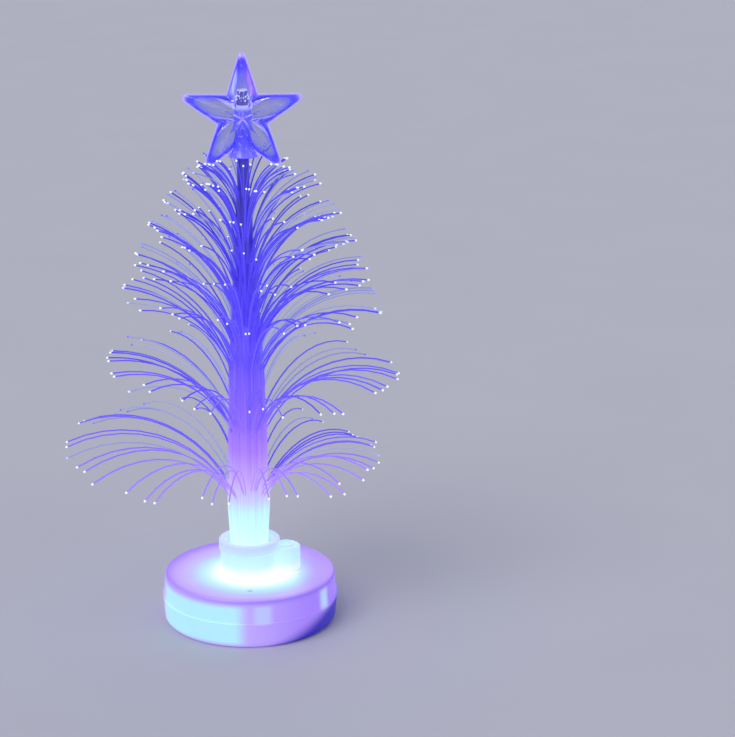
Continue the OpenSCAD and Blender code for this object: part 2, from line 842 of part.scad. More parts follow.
module star_back() {
  color("#8c9ff5")
    mirror([0, 1, 0])
      star_half();
}

bottom_cover();
top_cover();
push_button();
switch_body();
switch_plunger();
circuit_board();
led_lens();
led_leads();
resistor();
cell_a();
cell_b();
cell_c();
lower_bridge();
upper_bridge();
positive_clip();
negative_strip();
ferrule();
fibre_root();
for (k = [0:tier_last])
  fibre_tier(k);
fibre_core();
star_socket();
star_front();
star_back();
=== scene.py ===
import math

import bpy
import numpy as np
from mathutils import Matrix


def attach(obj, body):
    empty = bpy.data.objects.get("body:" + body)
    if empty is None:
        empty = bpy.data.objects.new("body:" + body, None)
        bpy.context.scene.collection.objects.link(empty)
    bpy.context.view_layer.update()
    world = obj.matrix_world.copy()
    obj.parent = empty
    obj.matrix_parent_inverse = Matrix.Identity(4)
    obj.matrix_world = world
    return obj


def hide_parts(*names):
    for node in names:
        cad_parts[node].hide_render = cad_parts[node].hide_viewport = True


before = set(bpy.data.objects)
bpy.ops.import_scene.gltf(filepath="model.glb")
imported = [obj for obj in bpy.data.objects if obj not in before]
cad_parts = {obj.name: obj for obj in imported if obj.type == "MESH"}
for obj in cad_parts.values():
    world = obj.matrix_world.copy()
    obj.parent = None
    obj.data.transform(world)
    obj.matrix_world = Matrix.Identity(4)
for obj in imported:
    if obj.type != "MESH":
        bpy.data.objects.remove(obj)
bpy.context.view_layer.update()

# The view: one camera in front of the tree and higher than its star,
# looking down at the base, with the tree left of the centre of the frame.
camera_lens = bpy.data.cameras.new("camera")
camera_lens.sensor_width = 36.0
camera_lens.lens = 104.9
camera_lens.clip_start = 0.01
camera = bpy.data.objects.new("camera", camera_lens)
camera.location = (0.0, -0.46177, 0.19327)
camera.rotation_euler = (math.radians(73.802), 0.0, math.radians(-3.355))
bpy.context.scene.collection.objects.link(camera)
bpy.context.scene.camera = camera


# The table: a plain pale floor under the tree, lit evenly by three soft lamps.
# The floor is a matt sheet, and the world is a little paler than it.
def linear(code):
    """Scene colour of a hex code: each channel c becomes ((c + 0.055) / 1.055) to the power 2.4."""
    channels = np.array([int(code[n:n + 2], 16) for n in (0, 2, 4)]) / 255
    scene = np.where(channels <= 0.04045, channels / 12.92, ((channels + 0.055) / 1.055) ** 2.4)
    return (*(float(c) for c in scene), 1.0)


class Signal:
    """A node's output socket. Arithmetic on it adds Math nodes, and add() adds any other node."""

    def __init__(self, socket):
        self.socket = socket

    def add(self, kind, settings, inputs, output=0):
        """A node of that kind: its settings first, then a value or a link for each named socket."""
        tree = self.socket.id_data
        node = tree.nodes.new(kind)
        for name, value in settings.items():
            if name == "stops":
                ends = node.color_ramp.elements
                ends[0].position, ends[0].color = value[0]
                ends[-1].position, ends[-1].color = value[-1]
                for at, colour in value[1:-1]:
                    ends.new(at).color = colour
            else:
                setattr(node, name, value)
        for name, value in inputs.items():
            if isinstance(value, Signal):
                tree.links.new(value.socket, node.inputs[name])
            else:
                node.inputs[name].default_value = value
        return Signal(node.outputs[output])

    def maths(self, operation, first, second):
        """A Math node with that operation on two values."""
        return self.add("ShaderNodeMath", {"operation": operation}, {0: first, 1: second})

    def __add__(self, other):
        return self.maths("ADD", self, other)

    def __radd__(self, other):
        return self.maths("ADD", other, self)

    def __sub__(self, other):
        return self.maths("SUBTRACT", self, other)

    def __rsub__(self, other):
        return self.maths("SUBTRACT", other, self)

    def __mul__(self, other):
        return self.maths("MULTIPLY", self, other)

    def __rmul__(self, other):
        return self.maths("MULTIPLY", other, self)

    def __pow__(self, other):
        return self.maths("POWER", self, other)

    def hypot(self, other):
        """The distance that two lengths at right angles make: the root of their squares' sum."""
        return (self * self + other * other) ** 0.5

    def rise(self, low, high):
        """0 below low, 1 above high and a smooth step between."""
        return self.add("ShaderNodeMapRange", {"interpolation_type": "SMOOTHSTEP"},
                        {"Value": self, "From Min": low, "From Max": high})

    def window(self, low, high, soft):
        """1 between low and high, with soft edges of that width."""
        half = soft / 2
        return self.rise(low - half, low + half) * (1 - self.rise(high - half, high + half))

    def tint(self, under, over):
        """The colour under where this is 0, and over where it is 1. Each is a signal or a hex code."""
        under, over = (linear(colour) if isinstance(colour, str) else colour for colour in (under, over))
        return self.add("ShaderNodeMix", {"data_type": "RGBA"}, {0: self, 6: under, 7: over}, 2)

    def ramp(self, low, high, *stops):
        """Colours by value: each stop is a value from low to high and its hex code."""
        level = (self - low) * (1 / (high - low))
        places = [((at - low) / (high - low), linear(code)) for at, code in stops]
        return self.add("ShaderNodeValToRGB", {"stops": places}, {0: level})

    def stretched(self, *closer):
        """A place whose patterns are packed closer along each axis by that many times."""
        return self.add("ShaderNodeMapping", {}, {"Vector": self, "Scale": closer})

    def speckle(self, per_mm, detail=2.0):
        """Even noise from 0 to 1 with that many cells to the millimetre, on a place in metres."""
        return self.add("ShaderNodeTexNoise", {},
                        {"Vector": self, "Scale": 1000.0 * per_mm, "Detail": detail})

    def bump(self, height_mm, strength=1.0):
        """A normal that follows this height."""
        return self.add("ShaderNodeBump", {},
                        {"Strength": strength, "Distance": height_mm / 1000, "Height": self})

    def kept(self, name, output):
        """What a mesh keeps on its points under that name."""
        return self.add("ShaderNodeAttribute", {"attribute_name": name}, {}, output)

    def parts(self):
        """The three parts of a vector."""
        split = self.add("ShaderNodeSeparateXYZ", {}, {0: self}).socket.node
        return [Signal(split.outputs[n]) for n in range(3)]

    def axes_mm(self):
        """The three parts of a place in metres, as millimetres."""
        return [part * 1000.0 for part in self.parts()]


def finish_of(name, constants):
    """A material with one shader and its constants: gives it, the shader and the place on the piece."""
    material = bpy.data.materials.new(name)
    material.use_nodes = True
    nodes = material.node_tree.nodes
    shader = nodes["Principled BSDF"]
    for socket, value in constants.items():
        shader.inputs[socket].default_value = value
    return material, shader, Signal(nodes.new("ShaderNodeTexCoord").outputs["Object"])


def feed(shader, socket, signal):
    """Links a signal to one of the shader's sockets."""
    shader.id_data.links.new(signal.socket, shader.inputs[socket])


def mesh_piece(name, points_mm, face_blocks, material):
    """An object at the origin from points in millimetres and blocks of faces, each an array of corners."""
    mesh = bpy.data.meshes.new(name)
    faces = [face for block in face_blocks for face in np.asarray(block).tolist()]
    mesh.from_pydata((np.asarray(points_mm).reshape(-1, 3) / 1000).tolist(), [], faces)
    mesh.polygons.foreach_set("use_smooth", np.full(len(mesh.polygons), True))
    mesh.materials.append(material)
    mesh.update()
    piece = bpy.data.objects.new(name, mesh)
    bpy.context.scene.collection.objects.link(piece)
    return piece


floor_material, shader, place = finish_of("matt_floor", {"Roughness": 0.85, "Specular IOR Level": 0.15})
feed(shader, "Base Color", place.speckle(0.02).tint("B9BAC6", "BEBFCA"))
floor_half_mm = 4000.0
floor_corners = floor_half_mm * np.array([[-1, -1, 0], [1, -1, 0], [1, 1, 0], [-1, 1, 0]])
floor = mesh_piece("floor", floor_corners, [[[0, 1, 2, 3]]], floor_material)

world = bpy.data.worlds.new("studio")
world.use_nodes = True
background = world.node_tree.nodes["Background"].inputs
background["Color"].default_value = linear("C6C7D2")
background["Strength"].default_value = 0.72
bpy.context.scene.world = world
for lamp, from_m, soft, power in (("sky_lamp", (-0.5, -0.55, 0.9), 0.7, 1.3),
                                  ("fill_lamp", (0.75, -0.45, 0.45), 1.0, 0.3),
                                  ("back_lamp", (0.25, 0.85, 0.7), 1.0, 0.35)):
    light = bpy.data.lights.new(lamp, "SUN")
    light.angle = soft
    light.energy = power
    lamp_object = bpy.data.objects.new(lamp, light)
    lamp_object.location = from_m
    lamp_object.rotation_euler = (math.acos(from_m[2] / math.hypot(*from_m)), 0.0,
                                  math.atan2(from_m[1], from_m[0]) + math.pi / 2)
    bpy.context.scene.collection.objects.link(lamp_object)
bpy.context.scene.view_settings.view_transform = "Standard"


# Base covers: two milky polypropylene mouldings, twisted together at the seam.
# The lamp inside shows through them: bright between the cells, violet where a cell or the switch
# stands behind the wall, and brightest on the roof round the collar's foot.
def finish_nodes(material, *nodes):
    """Gives that material to nodes of the frame, which keep their own meshes."""
    for node in nodes:
        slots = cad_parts[node].data.materials
        slots.clear()
        slots.append(material)


glow_x, glow_y, gate_y = 0.9, -2.2, -13.5
cover_material, shader, place = finish_of("milky_cover", {
    "Subsurface Weight": 0.25, "Subsurface Scale": 0.001, "Subsurface Radius": (1.0, 1.0, 1.6),
    "Emission Strength": 0.6, "IOR": 1.49})
x, y, z = place.axes_mm()
# The bearing is in degrees from the front of the base, positive to the right.
bearing = x.maths("ARCTAN2", x, -1.0 * y) * (180 / math.pi)
between_cells = bearing.window(-78, -6, 12) + bearing.rise(164, 180) + (1 - bearing.rise(-130, -112))
board_gap = bearing.window(2.3, 13.5, 6) * z.window(5.9, 10.0, 1.2)
switch_gap = bearing.window(53.7, 62.3, 6) * z.window(5.8, 10.4, 1.8)
behind_switch = (bearing - z * 7.5).rise(2, 36) * (1 - bearing.rise(100, 140)) * (1 - z.rise(4.6, 6.6))
side_glow = bearing.rise(-12, 48).tint("C8B0FC", "AA86FC")
side_glow = (between_cells * z.window(1.0, 10.0, 1.8)).tint(side_glow, "B9F5FC")
side_glow = (board_gap * 0.9).tint(side_glow, "C2CFFC")
side_glow = (switch_gap * 0.95).tint(side_glow, "BEE0FC")
side_glow = behind_switch.tint(side_glow, "1C10AC")
top_edge = z.rise(9.8, 11.4)
edge_shade = bearing.rise(-70, 10) * 0.5 + 0.3
side_glow = (top_edge * edge_shade).tint(side_glow, "8460EE")
from_lamp = (x - glow_x).hypot(y - glow_y)
roof_glow = from_lamp.ramp(0.0, 22.0, (0.0, "FFFFFF"), (7.8, "FFFFFF"), (9.4, "E2FDFF"), (11.0, "BFEEFC"),
                           (12.6, "B8DAFA"), (14.2, "BEBEFC"), (15.8, "C3B0FC"), (17.8, "BC9CFC"),
                           (19.4, "A680F8"), (22.0, "7650E8"))
roof_glow = (x.rise(9, 16) * 0.7).tint(roof_glow, "AE86FA")
gate_mark = 1 - x.hypot(y - gate_y).rise(0.35, 0.8)
roof_glow = (gate_mark * 0.5).tint(roof_glow, "7A6CB4")
collar_glow = z.ramp(11.6, 19.2, (11.6, "FFFFFF"), (12.6, "F2FFFF"), (14.2, "D2FDFF"), (16.4, "CCFAFD"),
                     (17.6, "CBEBFC"), (19.2, "CBDCFC"))
cover_glow = z.rise(10.9, 11.5).tint(side_glow, roof_glow)
cover_glow = z.rise(11.62, 12.2).tint(cover_glow, collar_glow)
flow = place.speckle(0.12, 3.0)
feed(shader, "Emission Color", cover_glow)
feed(shader, "Base Color", (flow * 0.12 + 0.5).tint(cover_glow, "4A4290"))
feed(shader, "Roughness", flow * 0.12 + 0.34)
feed(shader, "Normal", place.speckle(1.6).bump(0.02, 0.25))
finish_nodes(cover_material, "bottom_cover", "top_cover")


# Seam nubs: two small pips on the upper cover, just above the seam, one on each side.
# They are polypropylene, moulded in one piece with the cover.
def grid_faces(rows, columns, close_rows=False):
    """Quads between the neighbours of a grid of points, row by row, with each row closed on itself."""
    row, column = np.meshgrid(np.arange(rows if close_rows else rows - 1), np.arange(columns), indexing="ij")
    over, right = (row + 1) % rows, (column + 1) % columns
    corners = [row * columns + column, row * columns + right, over * columns + right, over * columns + column]
    return np.stack(corners, -1).reshape(-1, 4)


def turned(profile_mm, turns):
    """A profile of [radius, height] points carried round the Z axis: x = r cos a, y = r sin a."""
    profile = np.asarray(profile_mm, float)
    angle = np.linspace(0, 2 * np.pi, turns, endpoint=False)
    return np.stack([profile[:, :1] * np.cos(angle), profile[:, :1] * np.sin(angle),
                     np.repeat(profile[:, 1:], turns, 1)], -1).reshape(-1, 3)


def poled(profile_mm, turns):
    """A turned profile whose two ends lie on the axis: rings between them, and a fan to each pole."""
    profile = np.asarray(profile_mm, float)
    rings = len(profile) - 2
    points = np.concatenate([turned(profile[1:-1], turns), [[0, 0, profile[0, 1]], [0, 0, profile[-1, 1]]]])
    ring, following = np.arange(turns), np.roll(np.arange(turns), -1)
    low, high, top = (np.full(turns, rings * turns), np.full(turns, rings * turns + 1), (rings - 1) * turns)
    return points, [grid_faces(rings, turns), np.stack([low, following, ring], -1),
                    np.stack([high, top + ring, top + following], -1)]


nub_r, nub_h, nub_depth_share, nub_x, nub_z, nub_turns = 0.75, 0.55, 0.6, 19.55, 6.75, 14
slope = np.linspace(-np.pi / 2, np.pi / 2, 9)
nub_points, nub_blocks = poled(np.stack([nub_r * np.cos(slope), nub_h * np.sin(slope)], -1), nub_turns)
for side, name in ((-1, "left"), (1, "right")):
    nub = mesh_piece(f"seam_nub_{name}", nub_points * (nub_depth_share, 1, 1) + (side * nub_x, 0, nub_z),
                     nub_blocks, cover_material)
    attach(nub, "tree")


# Lamp and board: a blue 5 mm diode on a small fibreglass board, with its resistor.
# The board sits on moulded stakes inside the base, and the diode stands on it under the fibre ends.
lens_material, shader, place = finish_of("lamp_lens", {
    "IOR": 1.54, "Transmission Weight": 0.4, "Emission Strength": 0.8, "Roughness": 0.08})
lens_cloud = place.speckle(0.3)
feed(shader, "Base Color", lens_cloud.tint("D8E8FF", "F2FAFF"))
feed(shader, "Emission Color", lens_cloud.tint("9AE8FF", "D6F8FF"))
finish_nodes(lens_material, "led_lens")
board_material, shader, place = finish_of("fibreglass_board", {"Coat Weight": 0.3})
weave = place.add("ShaderNodeTexChecker", {}, {"Vector": place, "Scale": 2500.0}, 1)
feed(shader, "Base Color", (place.speckle(0.4) * 0.5).tint("1F6B43", "2F8655"))
feed(shader, "Roughness", weave * 0.1 + 0.35)
finish_nodes(board_material, "circuit_board")
chip_material, shader, place = finish_of("ceramic_chip", {})
chip_ends = 1 - place.axes_mm()[0].window(-0.65, 0.65, 0.05)
feed(shader, "Base Color", chip_ends.tint("2B2C31", "C9CCD2"))
feed(shader, "Roughness", place.speckle(2.0) * 0.2 + 0.3)
finish_nodes(chip_material, "resistor")
lead_material, shader, place = finish_of("tinned_lead", {"Metallic": 1.0})
feed(shader, "Base Color", place.speckle(2.0).tint("B9BEC6", "DDE0E6"))
feed(shader, "Roughness", place.speckle(3.0) * 0.2 + 0.25)
finish_nodes(lead_material, "led_leads")


# Switch: a square tactile switch on the board's arm, with a pressed tin cover over a black housing.
# Its nylon plunger stands under the button.
switch_material, shader, place = finish_of("switch_housing", {})
metal = place.axes_mm()[2].rise(6.3, 6.4)
feed(shader, "Base Color", metal.tint("1E1E22", "C4C7CC"))
feed(shader, "Metallic", metal)
feed(shader, "Roughness", place.speckle(1.5) * 0.2 + 0.3)
finish_nodes(switch_material, "switch_body")
plunger_material, shader, place = finish_of("nylon_plunger", {
    "Subsurface Weight": 0.1, "Subsurface Scale": 0.001})
feed(shader, "Base Color", place.speckle(0.6).tint("DCD6C6", "EAE5D8"))
feed(shader, "Roughness", place.speckle(1.2) * 0.15 + 0.4)
finish_nodes(plunger_material, "switch_plunger")


# Cells and contacts: three flat button cells of plated steel, joined by strips of sprung brass.
# The cells lie in moulded pockets round the lamp. One strip is staked on a post above them, one lies
# on the floor, and two lead to the board.
cell_material, shader, place = finish_of("plated_cell", {"Metallic": 1.0})
brushed = place.stretched(0.3, 4.0, 4.0).speckle(1.0, 4.0)
feed(shader, "Base Color", brushed.tint("B4B8C0", "D9DCE2"))
feed(shader, "Roughness", brushed * 0.2 + 0.22)
finish_nodes(cell_material, "cell_a", "cell_b", "cell_c")
strip_material, shader, place = finish_of("sprung_brass", {"Metallic": 1.0})
rolled = place.stretched(4.0, 0.4, 4.0).speckle(1.0, 3.0)
feed(shader, "Base Color", rolled.tint("C9AE62", "E2CC8A"))
feed(shader, "Roughness", rolled * 0.2 + 0.25)
finish_nodes(strip_material, "lower_bridge", "upper_bridge", "positive_clip", "negative_strip")


# Push button: a milky polypropylene cap in the sleeve beside the collar, with a shallow thumb dish.
# It is moulded in one piece with its stop flange, which sits under the roof.
button_x, button_r, button_foot, button_top, button_turns = 8.3, 1.95, 8.95, 17.8, 48
flange_r, flange_foot, flange_top = 2.8, 9.45, 10.05
edge_r, dish_r, dish_edge_drop, dish_depth = 0.3, 1.5, 0.02, 0.22
edge, dish = np.linspace(0, np.pi / 2, 6), np.linspace(0, 1, 7)
button_profile = np.concatenate([
    [[0.0, button_foot], [button_r, button_foot], [button_r, flange_foot], [flange_r, flange_foot],
     [flange_r, flange_top], [button_r, flange_top]],
    np.stack([button_r - edge_r + edge_r * np.cos(edge), button_top - edge_r + edge_r * np.sin(edge)], -1),
    np.stack([dish_r * (1 - dish), button_top - dish_edge_drop - dish_depth * (1 - (1 - dish) ** 2)], -1)])
button_points, button_blocks = poled(button_profile, button_turns)
button_material, shader, place = finish_of("milky_button", {"Emission Strength": 0.6, "IOR": 1.49})
x, y, _ = place.axes_mm()
across = (x - button_x).hypot(y)
# The cap is painted glowing with the lamp's cyan light, brightest in a ring near its rounded edge.
cap_glow = across.ramp(0.0, 2.2, (0.0, "C4F4FC"), (1.4, "B4ECFC"), (1.7, "DAFAFF"), (2.2, "A8CCFC"))
feed(shader, "Emission Color", cap_glow)
feed(shader, "Base Color", (place.speckle(0.4) * 0.2 + 0.4).tint(cap_glow, "4A5490"))
feed(shader, "Roughness", place.speckle(0.8) * 0.15 + 0.3)
button_cap = mesh_piece("button_cap", button_points + (button_x, 0, 0), button_blocks, button_material)
button_cap.data.set_sharp_from_angle(angle=math.radians(50))
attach(button_cap, "button")
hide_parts("push_button")


# Ferrule: a drawn aluminium tube crimped round the fibres, standing in the collar.
# Its wall shows as a thin bright ring inside the collar's rim, a painted cyan glow streaked along the draw
# marks.
ferrule_material, shader, place = finish_of("drawn_tube", {"Metallic": 1.0, "Emission Strength": 0.25})
drawn = place.stretched(6.0, 6.0, 0.4).speckle(1.0)
feed(shader, "Base Color", drawn.tint("A9B4CE", "D8E6F2"))
feed(shader, "Roughness", drawn * 0.2 + 0.28)
feed(shader, "Emission Color", drawn.tint("7FD8F2", "BDF4FF"))
finish_nodes(ferrule_material, "ferrule")


# Packed trunk: the fibres where they stand side by side, from the ferrule up to the star.
# They are drawn acrylic, and the lamp lights them white at the foot, then lilac and blue.
def scatter(i, row):
    """A fixed scatter from 0 to 1 of the numbers i, another for each row: the part after the point of
    43758.5453 sin(127.1 i + 311.7 row + 45 degrees)."""
    v = 43758.5453 * np.sin(np.radians(127.1 * i + 311.7 * row + 45))
    return v - np.floor(v)


def keep(piece, name, values):
    """Keeps one number or three on each point, for the material to read."""
    values = np.asarray(values, np.float32)
    kind, field = ("FLOAT", "value") if values.ndim == 1 else ("FLOAT_VECTOR", "vector")
    piece.data.attributes.new(name, kind, "POINT").data.foreach_set(field, values.ravel())


tiers, wide_gaps = 8, 2
last = tiers - 1
low_fibres, high_fibres, core_fibres = 44, 26, 26
seat_z, collar_top, star_z = 12.6, 19.2, 116.3
trunk_r, bundle_r, core_r = 5.0, 4.35, 1.25
low_reach, high_reach, reach_swell = 35.0, 11.2, 4.25
low_tip_h, high_tip_h, tip_swell = 19.4, 87.4, 6.25
low_tilt, high_tilt, low_leave, high_leave, leave_depth = 116.0, 62.0, 30.0, 12.0, 0.45
tier_fibres = np.round(low_fibres - (low_fibres - high_fibres) * np.arange(tiers) / last).astype(int)
fibres_from = np.append(np.cumsum(tier_fibres[::-1])[::-1] + core_fibres, core_fibres)
trunk_r_at = trunk_r * np.sqrt(fibres_from / fibres_from[0])


def tier_place(k, spread=0.0):
    """A tier's place in the tree, from 0 for the lowest to 1 for the highest: the lowest wide_gaps gaps
    are twice as wide as the others."""
    return (k + np.minimum(k, wide_gaps) + spread) / (last + wide_gaps)


def strand_law(k, t):
    """A strand at place t in the tree. Its reach, the height of its end and its two tilts run evenly from
    low to high, and the first two swell by 4 t (1 - t) on the way. It leaves the trunk at leave_r and foot_z
    with the tilt leave and bends in one arc of radius b, r = leave_r + b (cos leave - cos a) and
    z = foot_z + b (sin a - sin leave), to its end, where a is its tilt and r its reach."""
    hump = 4 * t * (1 - t)
    reach = low_reach + (high_reach - low_reach) * t + reach_swell * hump
    tip_z = collar_top + low_tip_h + (high_tip_h - low_tip_h) * t + tip_swell * hump
    tilt = np.radians(low_tilt + (high_tilt - low_tilt) * t)
    leave = np.radians(low_leave + (high_leave - low_leave) * t)
    leave_r = trunk_r_at[k] - leave_depth
    bend = (reach - leave_r) / (np.cos(leave) - np.cos(tilt))
    return reach, tilt, leave, leave_r, tip_z - bend * (np.sin(tilt) - np.sin(leave))


fibre_material, shader, place = finish_of("lit_fibre", {"IOR": 1.49, "Emission Strength": 0.8})
along, lit, streak = place.kept("strand", "Vector").parts()
x, y, height = place.axes_mm()
in_trunk = height.ramp(12.0, 112.0, (12.0, "F0FFFF"), (20.0, "D0FDFF"), (26.0, "C2F0FF"), (29.5, "C8CCFF"),
                       (34.0, "C4A8FF"), (41.0, "AC80FF"), (50.0, "8E66FF"), (62.0, "6C50FC"),
                       (72.0, "4C38E2"), (84.0, "3626C4"), (95.0, "22168E"), (112.0, "22168E"))
# Lit strands glow paler lilac at the higher lit level and deeper blue at the lower one. The lit level is
# raised towards the front of the tree (-Y), so this paints the front lighter.
bright_strand_colour = height.ramp(22.0, 112.0, (22.0, "C8A4FF"), (36.0, "B08AFC"), (46.0, "8A6AFA"), (60.0, "5E4AF6"),
                      (112.0, "3A30E0"))
dim_strand_colour = height.ramp(22.0, 112.0, (22.0, "5A3CEC"), (50.0, "4030DC"), (80.0, "3426CC"), (112.0, "261CA8"))
trunk_edge = 5.85 - height * 0.0437
in_bundle = 1 - (x.hypot(y) - trunk_edge).rise(0.2, 1.6)
lit_colour = lit.rise(0.76, 0.98).tint(dim_strand_colour, bright_strand_colour)
lit_colour = in_bundle.tint(lit_colour, in_trunk)
lit_colour = (streak * height.rise(22, 55) * 0.25).tint(lit_colour, "2418B4")
lit_colour = ((1 - streak) * height.rise(30, 70) * 0.15).tint(lit_colour, "A8A4FF")
# The clear strands glow too: their grey-lilac is also their emission, a painted glow.
clear_colour = streak.tint("7E83C2", "A2A7CA")
fibre_colour = (lit + in_bundle).rise(0.2, 0.9).tint(clear_colour, lit_colour)
tip_colour = lit.rise(0.12, 0.4).tint("463CFF", "F4FCFF")
fibre_colour = along.rise(0.972, 0.98).tint(fibre_colour, tip_colour)
feed(shader, "Emission Color", fibre_colour)
feed(shader, "Base Color", (streak * 0.15 + 0.5).tint(fibre_colour, "1C1470"))
feed(shader, "Roughness", streak * 0.15 + 0.2)

trunk_foot, trunk_top, trunk_turns = seat_z + 0.05, star_z + 1.0, 132
slice_drop, taper_h, bundle_inset, slice_inset = 1.0, 7.2, 0.1, 0.25
slices = np.arange(1, tiers)
slice_z = strand_law(slices, tier_place(slices))[4] - slice_drop
trunk_z = np.concatenate([[trunk_foot, trunk_foot, collar_top], slice_z,
                          [slice_z[-1] + taper_h, trunk_top, trunk_top]])
trunk_across = np.concatenate([[0.0, bundle_r - bundle_inset, bundle_r - bundle_inset],
                               trunk_r_at[slices] - slice_inset, [core_r, core_r, 0.0]])
trunk_points, trunk_blocks = poled(np.stack([trunk_across, trunk_z], -1), trunk_turns)
packed_trunk = mesh_piece("packed_trunk", trunk_points, trunk_blocks, fibre_material)
streaks = np.append(np.tile(scatter(np.arange(trunk_turns), 5), len(trunk_z) - 2), [0.5, 0.5])
keep(packed_trunk, "strand", np.stack([np.zeros_like(streaks), np.ones_like(streaks), streaks], -1))
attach(packed_trunk, "tree")
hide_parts("fibre_root")


# Light fibres: drawn acrylic strands, tier by tier. Each runs up the trunk, leaves it in one arc
# and carries its light to a bright bare end. Some stay clear, at random and more often at the back,
# for the front of the tree is painted brighter.
def swept(radius, height, turn, thickness, sides=4):
    """Strands in half-planes round the axis: each ring is a circle across the path's own direction.
    A ring point is the path [radius, height] at its bearing, plus its in-plane and sideways parts."""
    run, climb = np.gradient(radius, axis=1), np.gradient(height, axis=1)
    length = np.hypot(run, climb)
    out, up = climb / length, -run / length
    angle = np.pi / sides + np.linspace(0, 2 * np.pi, sides, endpoint=False)
    across = thickness[:, :, None] * np.cos(angle)
    aside = thickness[:, :, None] * np.sin(angle)
    r = radius[:, :, None] + across * out[:, :, None]
    bearing = turn[:, None, None]
    return np.stack([r * np.cos(bearing) - aside * np.sin(bearing),
                     r * np.sin(bearing) + aside * np.cos(bearing),
                     height[:, :, None] + across * up[:, :, None]], -1)


def strand_piece(name, rings, notes):
    """One piece from strands x rings x sides points, closed at both ends, with the notes of each ring."""
    strands, steps, sides, _ = rings.shape
    first = np.arange(strands)[:, None] * steps * sides
    walls = (first[:, :, None] + grid_faces(steps, sides)).reshape(-1, 4)
    feet, ends = first + np.arange(sides)[::-1], first + (steps - 1) * sides + np.arange(sides)
    piece = mesh_piece(name, rings, [walls, feet, ends], fibre_material)
    keep(piece, "strand", np.repeat(notes.reshape(-1, 3), sides, 0))
    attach(piece, "tree")
    return piece


# A tier's strands spread in height, sway in bearing and gather in threes. The lowest tier leans to the
# left, those above it reach and droop further on the right, and the star's arms press the highest down.
tier_spread, sway, gather = 0.35, 0.5, 0.4
low_lean, comb_reach, comb_tilt = 5.5, 1.6, np.radians(10)
star_press, press_focus = np.radians(18), 8

# Each strand of the CAD is a mother. The higher the tier, the more of them have a twin or a third strand
# beside them, which is turned aside, a little shorter, and higher or lower.
twin_share, third_share, twin_lift, twin_cut = 0.05, 0.02, 0.1, 0.05
twin_turn, twin_turn_more = np.radians(1.2), np.radians(1.6)

# A strand is thickest in the bundle, thins out as it leaves the trunk, and ends in a small bright bead.
bundled_z, bend_in_h, inner_step = 17.8, 3.5, 0.1
foot_thick, strand_thick, end_thick = [0.24, 0.24, 0.24, 0.23, 0.21, 0.19], 0.175, [0.25, 0.25, 0.15]
arc_share, end_run = np.linspace(0, 1, 11), np.array([0.12, 0.4, 0.52])
along_strand = np.concatenate([np.zeros(3), 0.97 * arc_share, [0.99, 1.0, 1.0]])
middle_rings = len(along_strand) - len(foot_thick) - len(end_thick)
ring_thick = np.concatenate([foot_thick, np.full(middle_rings, strand_thick), end_thick])
lit_behind, lit_more = 0.3, 0.66
for k in range(tiers):
    mother = np.arange(tier_fibres[k])
    twin = mother[scatter(mother, k + 40) < twin_share * k]
    third = mother[scatter(mother, k + 60) < third_share * k]
    i = np.concatenate([mother, twin, third])
    beside = np.concatenate([np.zeros(len(mother)), np.ones(len(twin)), -np.ones(len(third))])
    own = scatter(i + 7 * beside, k + 90)
    t = tier_place(k, tier_spread * scatter(i, k) + twin_lift * beside * own)
    reach, tilt, leave, leave_r, foot_z = strand_law(k, t)
    swing = sway * (1 - k / last) * (scatter(i, k + 20) - 0.5)
    middle_of_three = np.floor(i / 3) * 3 + 1
    turn = 2 * np.pi * (i + 0.5 + swing + gather * (middle_of_three - i)) / tier_fibres[k]
    rightward = np.cos(turn)
    if k == 0:
        reach = reach - low_lean * rightward
    elif k < last:
        reach, tilt = reach + comb_reach * rightward, tilt + comb_tilt * rightward
    else:
        tilt = tilt + star_press * rightward ** press_focus
    reach = reach * (1 - twin_cut * np.abs(beside) * own)
    turn = turn + beside * (twin_turn + twin_turn_more * own)
    bend = (reach - leave_r) / (np.cos(leave) - np.cos(tilt))
    theta = leave[:, None] + (tilt - leave)[:, None] * arc_share
    arc_r = leave_r + bend[:, None] * (np.cos(leave)[:, None] - np.cos(theta))
    arc_z = foot_z[:, None] + bend[:, None] * (np.sin(theta) - np.sin(leave)[:, None])
    inner = min(leave_r + inner_step, trunk_r)
    packed = min(inner, bundle_r - foot_thick[0])
    level = np.ones(len(i))
    rise_r = np.outer(level, [packed, packed, inner])
    inner_z = np.maximum(foot_z - bend_in_h, collar_top + 1)
    rise_z = np.stack([trunk_foot * level, bundled_z * level, inner_z], 1)
    end_r = arc_r[:, -1:] + end_run * np.sin(tilt)[:, None]
    end_z = arc_z[:, -1:] + end_run * np.cos(tilt)[:, None]
    radius = np.concatenate([rise_r, arc_r, end_r], 1)
    heights = np.concatenate([rise_z, arc_z, end_z], 1)
    rings = swept(radius, heights, turn, np.broadcast_to(ring_thick, radius.shape))
    # Painted light: strands towards the front of the tree (-Y) are more often lit and glow brighter, and more
    # of those at the back stay clear.
    facing = (1 - np.sin(turn)) / 2
    in_light = scatter(i + 3 * beside, k + 120) < lit_behind + lit_more * facing
    lit_level = np.where(in_light, 0.75 + 0.25 * facing, 0.1 + 0.3 * facing)
    notes = np.stack(np.broadcast_arrays(along_strand, lit_level[:, None],
                                         scatter(i + 5 * beside, k + 150)[:, None]), -1)
    tier = strand_piece(f"fibres_{k + 1:02d}", rings, notes)
    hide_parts(f"fibre_tier_{k + 1:02d}")


